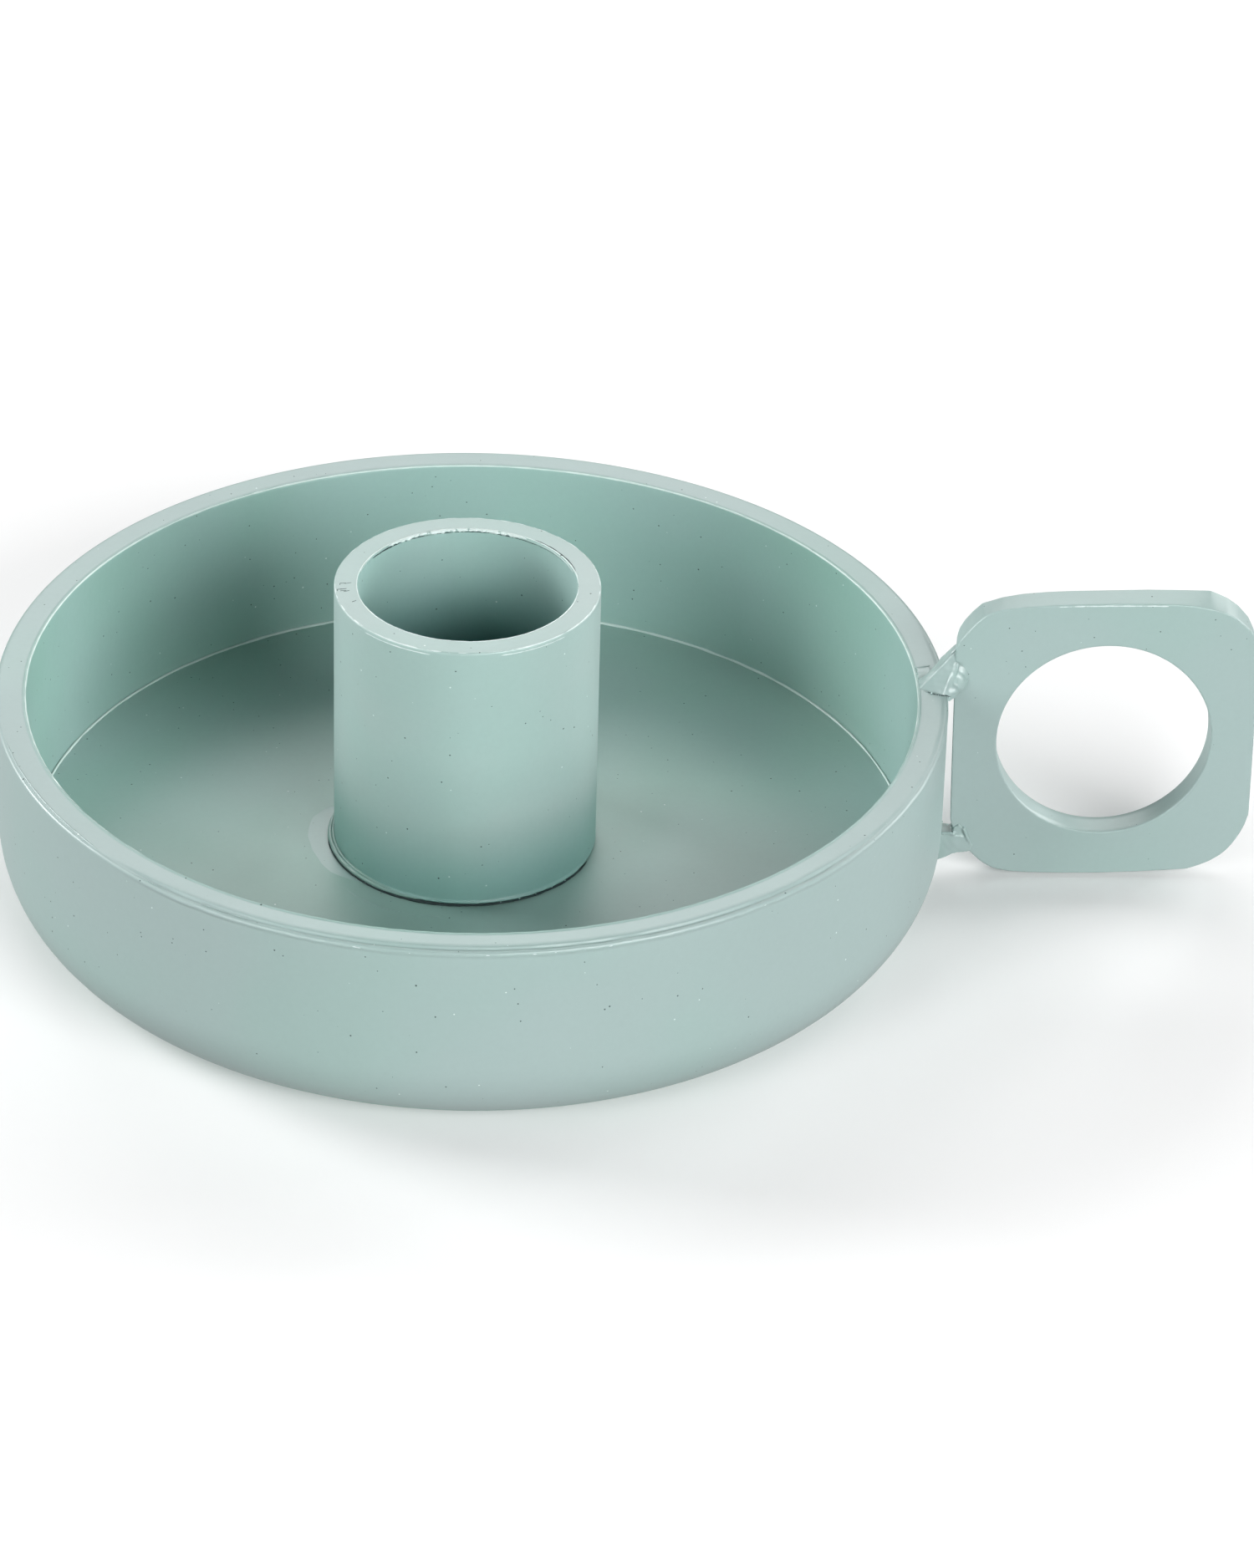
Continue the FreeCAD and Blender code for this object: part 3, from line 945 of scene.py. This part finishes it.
def plate_mesh(steps=900):
    """Rings of points round the plate's middle: front, outer edge, rear and the hole's wall."""
    angles = np.linspace(0, math.tau, steps, endpoint=False)
    front, back = ground_reach(FRONT_OUTLINE, angles), ground_reach(BACK_OUTLINE, angles)
    deep, ease, inner = PLATE_THICKNESS, EDGE_ROUND, HOLE_RADIUS + HOLE_ROUND
    on_front, on_edge = (0, 0.03, 0.2, 0.45, 0.7, 0.9, 0.98, 1), (0.12, 0.3, 0.5, 0.7, 0.88)
    on_back = (0.97, 0.85, 0.5, 0.15, 0)
    in_hole = [(-0.7, deep - 0.03), (-1, deep - HOLE_ROUND), (-1, 2.2), (-1, 1.5), (-1, 0.8)]
    in_hole += [(-1, HOLE_ROUND), (-0.7, 0.03)]
    front_turn, back_turn = arc((0, 0), 1, -90, 0, 4)[1:], arc((0, 0), 1, 0, 90, 4)
    rings = [(inner + (front - ease - inner) * share, 0.0) for share in on_front]
    rings += [(front - ease + ease * x, ease + ease * y) for x, y in front_turn]
    rings += [(front + (back - front) * share, deep * share) for share in on_edge]
    rings += [(back - ease + ease * x, deep - ease + ease * y) for x, y in back_turn]
    rings += [(inner + (back - ease - inner) * share, deep) for share in on_back]
    rings += [(inner + HOLE_ROUND * share, depth) for share, depth in in_hole]
    points = [point for reach, depth in rings for point in round_plate(angles, reach, depth)]
    return loops_mesh("plate", points, len(rings), steps, True, satin)


plate_body = face_outwards(plate_mesh())
print("the plate's body has", len(plate_body.vertices), "points")


# %% The plate with its paint ridges
def plate_path(start, end, inset, depth, count=60):
    """A path along the plate's front outline, between two angles in degrees about its middle."""
    angles = np.radians(np.linspace(start, end, count))
    return round_plate(angles, ground_reach(FRONT_OUTLINE, angles) - inset, depth)


# The nearly white ridges paint the highlight along the plate's top edge, as well as thin worn film.
# First and last angle, inset and depth of each ridge, then what bead takes.
PLATE_RIDGES = [
    ((66, 112, 0.20, 0.04), 0.07, 41, worn_and_highlight_paint, 2.8, 0.9, 0.8, 0.1, 0.8),
    ((112, 138, 0.14, 0.10), 0.05, 43, worn_and_highlight_paint, 1.5, 0.5, 1.2, 0.1, 1.0),
]
plate_ridges = [bead(plate_path(*ridge), *look) for ridge, *look in PLATE_RIDGES]
finger_plate = add_piece("painted_plate", [plate_body] + plate_ridges)

# %% [markdown]
# ## The welds
# Weld metal freezes as drops that run into each other, with creases where one drop overlaps the
# next. Each plate weld starts as overlapping lumps, balls and ropes on the faces that it joins: a
# lump is the tightest skin round a few points, and a rope is a row of balls. A voxel remesh melts
# them into one skin, smoothing rounds the creases, and a little unevenness along the skin's
# normals gives the slag under the paint.

# %% Helpers for weld metal
def ball(centre, radius, squash=(1, 1, 1)):
    """A ball of metal, radius in millimetres, flattened by squash."""
    work = bmesh.new()
    bmesh.ops.create_icosphere(work, subdivisions=4, radius=radius * MM)
    bmesh.ops.scale(work, vec=squash, verts=work.verts)
    bmesh.ops.translate(work, vec=Vector(centre) * MM, verts=work.verts)
    return coat(mesh_from(work, "ball"), weld_paint)


def lump(points):
    """The tightest skin round a few points: a faceted lump of metal."""
    work = bmesh.new()
    for point in points:
        work.verts.new(Vector(point) * MM)
    hull = bmesh.ops.convex_hull(work, input=work.verts)
    bmesh.ops.delete(work, geom=hull["geom_interior"], context="VERTS")
    return coat(mesh_from(work, "lump"), weld_paint)


def slab(outline, near, far):
    """A lump between two depths, with a convex outline of (across, height) points."""
    return lump([(across, depth, height) for depth in (near, far) for across, height in outline])


def rope(first, last, radii, steps=14):
    """A row of balls from first to last, close enough to melt into a rope."""
    shares = [k / (steps - 1) for k in range(steps)]
    first, last, (thick, thin) = Vector(first), Vector(last), radii
    return [ball(first.lerp(last, share), thick + (thin - thick) * share) for share in shares]


def melt(name, drops, voxel, smoothing, lumps, seed):
    """One lumpy skin round all the drops."""
    piece = add_object(name, join(drops))
    remesh = piece.modifiers.new("skin", "REMESH")
    remesh.mode, remesh.voxel_size, remesh.use_smooth_shade = "VOXEL", voxel * MM, True
    smooth = piece.modifiers.new("soften", "SMOOTH")
    smooth.factor, smooth.iterations = 0.5, smoothing
    mesh = finished_mesh(piece)
    points = read_points(mesh)
    normals = np.zeros(len(mesh.vertices) * 3)
    mesh.vertices.foreach_get("normal", normals)
    rise = lumps * lumpiness(points, seed)
    write_points(mesh, points + normals.reshape(-1, 3) * rise[:, None])
    return coat(mesh, weld_paint)


def lumpiness(points, seed):
    """Smooth uneven values at points in space, about -1 to 1, from a few plane waves."""
    generator = np.random.default_rng(seed)
    total = np.zeros(len(points))
    for size in (2.6, 1.7, 1.1, 0.8, 0.6):
        for _ in range(3):
            way = generator.normal(size=3)
            way *= math.tau / size / np.linalg.norm(way)
            total += np.cos(points @ way + generator.uniform(0, math.tau)) * size
    return total / 5


print("ready: ball, lump, slab, rope and melt")


# %% Weld on the rim
TAB = [
    (44.95, 1.4, 22.6), (44.95, 1.5, 22.9), (46.6, 1.4, 22.95), (45.05, 3.6, 22.95),
    (46.4, 3.8, 23.0), (46.6, 3.7, 22.6), (45.1, 3.6, 22.6),
]
WEB = [
    (46.2, 1.4, 22.5), (46.35, 1.45, 23.3), (47.9, 1.4, 25.3), (48.95, 1.6, 26.65),
    (49.7, 1.6, 26.2), (49.6, 1.4, 22.2), (46.3, 2.9, 22.5), (46.4, 2.9, 23.0), (47.4, 2.9, 24.6),
    (48.9, 2.5, 26.5), (49.6, 2.7, 22.2),
]
BODY = [
    (44.95, -0.3, 22.6), (44.9, 1.4, 22.6), (46.1, -1.1, 22.5), (47.1, -1.8, 22.2),
    (48.1, -1.3, 21.9), (48.9, -0.3, 21.7), (45.2, 1.3, 22.98), (46.4, 1.35, 23.25),
    (47.1, 0.5, 23.5), (47.3, -0.9, 23.1), (48.3, 0.3, 23.9), (48.8, 0.6, 25.5),
    (49.2, 1.2, 22.0), (47.9, 1.35, 25.2), (48.9, 1.3, 26.4),
]


def rim_weld_drops():
    """Flat tab on the rim, a web up to the plate's corner, a low body in front, and a cheek."""
    cheek = [
        ball((49.1, 1.0, 23.5), 1.12, (1, 0.68, 1.5)), ball((48.85, 0.6, 23.1), 1.1, (1, 0.8, 1.3)),
        ball((48.1, -0.1, 22.65), 0.95, (1.15, 0.9, 0.85)),
    ]
    creases = rope((48.85, 0.35, 25.3), (48.35, 0.0, 23.5), (0.26, 0.3))
    creases += rope((47.2, 0.3, 23.3), (47.3, -0.9, 22.85), (0.25, 0.3))
    creases += rope((46.4, 1.42, 23.3), (47.95, 1.4, 25.35), (0.12, 0.12), 30)
    creases += rope((45.0, 3.65, 22.95), (46.45, 3.85, 23.0), (0.1, 0.1), 24)
    return [lump(TAB), lump(WEB), lump(BODY)] + cheek + creases


rim_weld_skin = melt("rim_weld_skin", rim_weld_drops(), 0.065, 18, 0.03, 51)
print("the rim weld's skin has", len(rim_weld_skin.vertices), "points")


# %% Weld low on the wall
NOTCH = [(47.5, 2.0), (48.2, 2.25), (49.5, 2.9), (49.5, 5.0), (47.5, 5.2)]
CORNER_FACE = [(49.3, 2.85), (51.2, 3.15), (51.35, 3.9), (50.9, 4.5), (50.2, 5.0), (49.3, 5.0)]
CROWN = [(49.35, 4.8), (50.75, 4.7), (50.5, 5.8), (49.9, 6.3), (49.4, 5.9)]


def wall_weld_drops():
    """A smooth face between the wall and the plate's corner, and a rough crown with a pit."""
    drops = [slab(NOTCH, -0.15, 2.2), slab(CORNER_FACE, -0.15, 2.2), slab(CROWN, 0.0, 2.0)]
    drops += rope((50.45, 0.0, 5.8), (50.95, -0.05, 4.5), (0.2, 0.22))
    drops += rope((50.95, -0.05, 4.5), (51.35, 0.0, 3.8), (0.2, 0.15))
    drops += rope((48.3, 0.15, 5.15), (49.4, 0.0, 5.2), (0.22, 0.26))
    drops += rope((49.5, 0.3, 5.3), (49.5, 0.5, 6.2), (0.3, 0.26))
    drops += rope((47.8, 0.5, 5.2), (48.0, 0.6, 6.1), (0.4, 0.22))
    return drops


wall_weld_skin = melt("wall_weld_skin", wall_weld_drops(), 0.065, 6, 0.025, 61)
print("the wall weld's skin has", len(wall_weld_skin.vertices), "points")

# %% [markdown]
# ## The weld at the tube's foot
# A little metal ran out under the left of the tube: a thin crescent on the floor with a pale
# skin, a lip of two beads over it, and under the lip a nearly black bead that paints the ledge's
# shadow and goes on to the right. The crescent is about a tenth of a millimetre thick. That is
# too thin for a remesh, so it is built from cross-sections along its arc.

# %% Weld at the tube's foot
POOL_ANGLES = [156, 160, 168, 182, 196, 208, 217, 222, 240, 268]
POOL_REACH = [0.3, 1.6, 2.9, 3.1, 2.8, 2.4, 1.2, 0.7, 0.6, 0.2]
POOL_BITE = 0.4


def pool_mesh(steps=260, rows=10):
    """A shallow crescent of run metal on the floor, thickest against the tube."""
    turned = np.linspace(POOL_ANGLES[0], POOL_ANGLES[-1], steps)
    angles = np.radians(turned)
    reach = np.interp(turned, POOL_ANGLES, POOL_REACH) + 0.05 * wander(angles, 71, 6, 40)
    shares = [row / rows for row in range(rows + 1)]
    section = [(share, 0.06 - 0.09 * share ** 3) for share in shares] + [(0, -0.05)]
    points = []
    for angle, far in zip(angles, np.maximum(reach, 0.05)):
        for share, rise in section:
            radius = TUBE_RADIUS - POOL_BITE + (far + POOL_BITE) * share
            x, y = radius * math.cos(angle), radius * math.sin(angle)
            points.append((TUBE_AXIS[0] + x, TUBE_AXIS[1] + y, FLOOR + rise))
    return loops_mesh("pool", points, steps, len(section), False, pale_paint)


# The nearly black bead under the ledge is painted shadow.
FOOT_SHADOW_LINE = [
    (176, 13.8, 4.92), (190, 13.93, 4.92), (205, 13.9, 4.92), (225, 13.78, 4.92),
    (250, 13.6, 4.92), (270, 13.44, 4.92), (300, 13.42, 4.92), (337, 13.42, 4.9),
]
RUN_EDGE = [(218, 15.9, 4.79), (238, 16.2, 4.79), (262, 15.5, 4.79)]
OUTER_LIP = [
    (158, 13.62, 5.1), (170, 13.72, 5.13), (185, 13.76, 5.15), (205, 13.72, 5.16),
    (225, 13.62, 5.15), (250, 13.5, 5.14),
]
INNER_LIP = [
    (164, 13.45, 5.3), (180, 13.46, 5.36), (200, 13.46, 5.4), (220, 13.44, 5.38), (240, 13.4, 5.33),
]
# Its first row is the nearly black bead that paints the ledge's shadow.
FOOT_LINES = [
    (FOOT_SHADOW_LINE, 0.135, 71, shade_and_scratch_paint, 0.9, 0.3, 1.5, 0.08, 0.8),
    (RUN_EDGE, 0.045, 72, pale_paint, 1.4, 1.5, 2.0, 0.3, 1.0),
    (OUTER_LIP, 0.25, 73, weld_paint, 0.9, 0.35, 1.2, 0.25),
    (INNER_LIP, 0.16, 75, weld_paint, 1.2, 0.5, 0.9, 0.3),
]
foot_lines = [bead(path_round(places, TUBE_AXIS), *look) for places, *look in FOOT_LINES]
foot_skin = [pool_mesh()] + foot_lines
print("the foot weld has a pool and", len(foot_lines), "beads")

# %% [markdown]
# ## Grit
# Spatter and grit sit under the paint near the two plate welds and at the tube's foot. One tree
# scatters small faceted grains along a path, each with its own size and turn. Along the rim weld's
# front, where it overlaps the rim, a nearly black bead paints the shade in the crevice.

# %% Tree for grit
def make_grit_tree():
    """Grains along a curve: random points on it, small ico spheres, random size and turn."""
    inputs = {"Count": "Int", "Size": "Float", "Scatter": "Float", "Seed": "Int"}
    tree, put = new_shape_tree("grit_along_path", inputs)
    seed, size = {"Seed": put["Seed"]}, put["Size"]
    dots = {"Curve": put["Geometry"], "Count": put["Count"]}
    dots = add_node(tree, "GeometryNodeCurveToPoints", dots)[0]
    reach = {axis: put["Scatter"] for axis in range(3)}
    reach = add_node(tree, "ShaderNodeCombineXYZ", reach)[0]
    shift = {0: vector_maths("SCALE", reach, {"Scale": -1.0}), 1: reach, **seed}
    shift = add_node(tree, "FunctionNodeRandomValue", shift, data_type="FLOAT_VECTOR")[0]
    loose = add_node(tree, "GeometryNodeSetPosition", {"Geometry": dots, "Offset": shift})[0]
    grain = add_node(tree, "GeometryNodeMeshIcoSphere", {"Radius": 1.0, "Subdivisions": 2})[0]
    size = {2: size * 0.35, 3: size, **seed}
    size = add_node(tree, "FunctionNodeRandomValue", size, data_type="FLOAT")[1]
    turned = {0: (0.0, 0.0, 0.0), 1: (6.28, 6.28, 6.28), **seed}
    turned = add_node(tree, "FunctionNodeRandomValue", turned, data_type="FLOAT_VECTOR")[0]
    placed = {"Points": loose, "Instance": grain, "Rotation": turned, "Scale": size}
    placed = add_node(tree, "GeometryNodeInstanceOnPoints", placed)[0]
    finish_shape_tree(tree, placed, put["Material"])
    return tree


grit_tree = make_grit_tree()


# %% The welds with their grit
def grit(points, count, size, scatter, seed):
    """Grains along points. Size and scatter are millimetres."""
    values = {"Count": count, "Size": size * MM, "Scatter": scatter * MM, "Seed": seed}
    return run_tree(grit_tree, path_curve(points), {**values, "Material": pale_paint})


foot_grit = [grit(path_round(places, TUBE_AXIS), *look) for places, *look in (
    ([(190, 13.98, 4.92), (223, 13.9, 4.92)], 6, 0.1, 0.05, 81),
    ([(176, 13.7, 5.4), (214, 13.66, 5.42)], 9, 0.08, 0.08, 83),
    ([(285, 13.5, 5.08), (318, 13.5, 5.06)], 5, 0.09, 0.06, 85),
)]
foot_weld = add_piece("painted_foot_weld", foot_skin + foot_grit)

CREVICE = [
    (45.7, -0.86, 22.84), (46.2, -1.17, 22.84), (47.0, -1.6, 22.82), (47.75, -1.5, 22.7),
    (48.25, -1.2, 22.4),
]
RIM_FRONT = [(45.5, -0.9, 22.85), (46.5, -1.35, 22.8), (47.4, -1.75, 22.65), (48.2, -1.3, 22.4)]
RIM_SIDE = [(44.95, 3.6, 22.98), (45.1, 1.3, 22.95), (45.4, -0.8, 22.85)]
WALL_CROWN = [(48.0, 0.3, 6.4), (49.2, 0.1, 6.3), (49.3, -0.1, 5.3), (48.2, 0.0, 5.2)]
rim_weld = add_piece("painted_rim_weld", [
    rim_weld_skin,
    # a nearly black bead that paints the shade in the crevice
    bead(CREVICE, 0.055, 53, shade_and_scratch_paint, 3.4, 2.6, 0.4, 0.3),
    grit(RIM_FRONT, 18, 0.12, 0.14, 87),
    grit(RIM_SIDE, 8, 0.09, 0.1, 89),
])
wall_weld = add_piece("painted_wall_weld", [wall_weld_skin, grit(WALL_CROWN, 12, 0.11, 0.12, 91)])

# %% [markdown]
# ## The table
# The photograph's background was cut out in white, so the dish stands on a wide white table. It
# lies a hundredth of a millimetre over the dish's underside, because two faces in one plane
# would flicker into each other in a view from below.

# %% Table
TABLE_HALF, TABLE_HEIGHT = 3.0, 0.01 * MM


def make_table():
    """A wide pale table under the dish."""
    signs = ((-1, -1), (1, -1), (1, 1), (-1, 1))
    corners = [(x * TABLE_HALF, y * TABLE_HALF, TABLE_HEIGHT) for x, y in signs]
    mesh = bpy.data.meshes.new("table")
    mesh.from_pydata(corners, [], [(0, 1, 2, 3)])
    material = bpy.data.materials.new("table_white")
    material.use_nodes = True
    shader = material.node_tree.nodes["Principled BSDF"]
    shader.inputs["Base Color"].default_value = (0.93, 0.93, 0.93, 1)
    shader.inputs["Roughness"].default_value = 0.8
    mesh.materials.append(material)
    return add_object("table", mesh)


table = make_table()
print("the table is", 2 * TABLE_HALF, "m wide")

# %% [markdown]
# ## The light
# Large soft lamps stand round the dish, 1.2 m away, placed by what the photograph shows: the
# floor and the rim mirror one behind, the front of the wall lies between two, and the sides are
# bright low down. A wide lamp just under the table stands in for the light that a white table
# throws back, and the table itself is left out of the reflections: so its share can be set and
# has no noise. The world is white for the camera and gives no light.

# %% Lamps and world
LAMP_DISTANCE = 1.2
BOUNCE_SIZE, BOUNCE_DEPTH, BOUNCE_STRENGTH = 4.0, 0.002, 0.46


def add_lamp(name, width, height, energy, place, turned):
    """A rectangular lamp that the camera doesn't see."""
    data = bpy.data.lights.new(name, "AREA")
    data.shape, data.size, data.size_y, data.energy = "RECTANGLE", width, height, energy
    lamp = add_object(name, data)
    lamp.location, lamp.rotation_euler, lamp.visible_camera = place, turned, False
    print("lamp", name, round(energy, 2), "W")


def softbox(name, around, above, width, height, strength):
    """A lamp that faces the dish. around runs from +X, counter-clockwise, in degrees."""
    a, e = math.radians(around), math.radians(above)
    way = Vector((math.cos(a) * math.cos(e), math.sin(a) * math.cos(e), math.sin(e)))
    place = way * LAMP_DISTANCE
    turned = (-place).to_track_quat("-Z", "Y").to_euler()
    add_lamp(name, width, height, strength * math.pi * LAMP_DISTANCE ** 2, place, turned)


for lamp in (
    ("back_left", 157, 24, 0.5, 0.5, 2.2), ("low_left", 157, 13, 0.5, 0.3, 0.7),
    ("front_left", 225, 18, 0.5, 0.7, 1.6), ("front_right", 300, 26, 0.8, 0.5, 2.75),
    ("low_front_right", 315, 9, 0.5, 0.3, 0.75), ("low_right", 22, 14, 0.5, 0.3, 1.25),
    ("back_right", 42, 24, 0.5, 0.5, 0.95), ("back", 92, 36, 1.0, 0.55, 1.15),
):
    softbox(*lamp)

bounce = BOUNCE_STRENGTH * math.pi * BOUNCE_SIZE ** 2
under_table, upwards = (0, 0, -BOUNCE_DEPTH), (math.pi, 0, 0)
add_lamp("table_bounce", BOUNCE_SIZE, BOUNCE_SIZE, bounce, under_table, upwards)
table.visible_diffuse = table.visible_glossy = table.visible_shadow = False

world = bpy.data.worlds.new("studio")
bpy.context.scene.world = world
world.use_nodes = True
background = world.node_tree.nodes["Background"]
background.inputs["Color"].default_value = (1, 1, 1, 1)
background.inputs["Strength"].default_value = 1.0
world.cycles_visibility.diffuse = world.cycles_visibility.glossy = False
bpy.context.scene.view_settings.view_transform = "Standard"

# %% [markdown]
# ## The pieces on their body
# Every dressed piece rides on the one body and takes the place of its CAD node, which is hidden.
# The table is left out: it is only a stage.

# %% Pieces to their body
for piece, node in (
    (dish, "dish"), (tube, "candle_tube"), (finger_plate, "finger_plate"),
    (rim_weld, "rim_weld"), (wall_weld, "wall_weld"), (foot_weld, "tube_foot_weld"),
):
    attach(piece, "root")
    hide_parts(node)
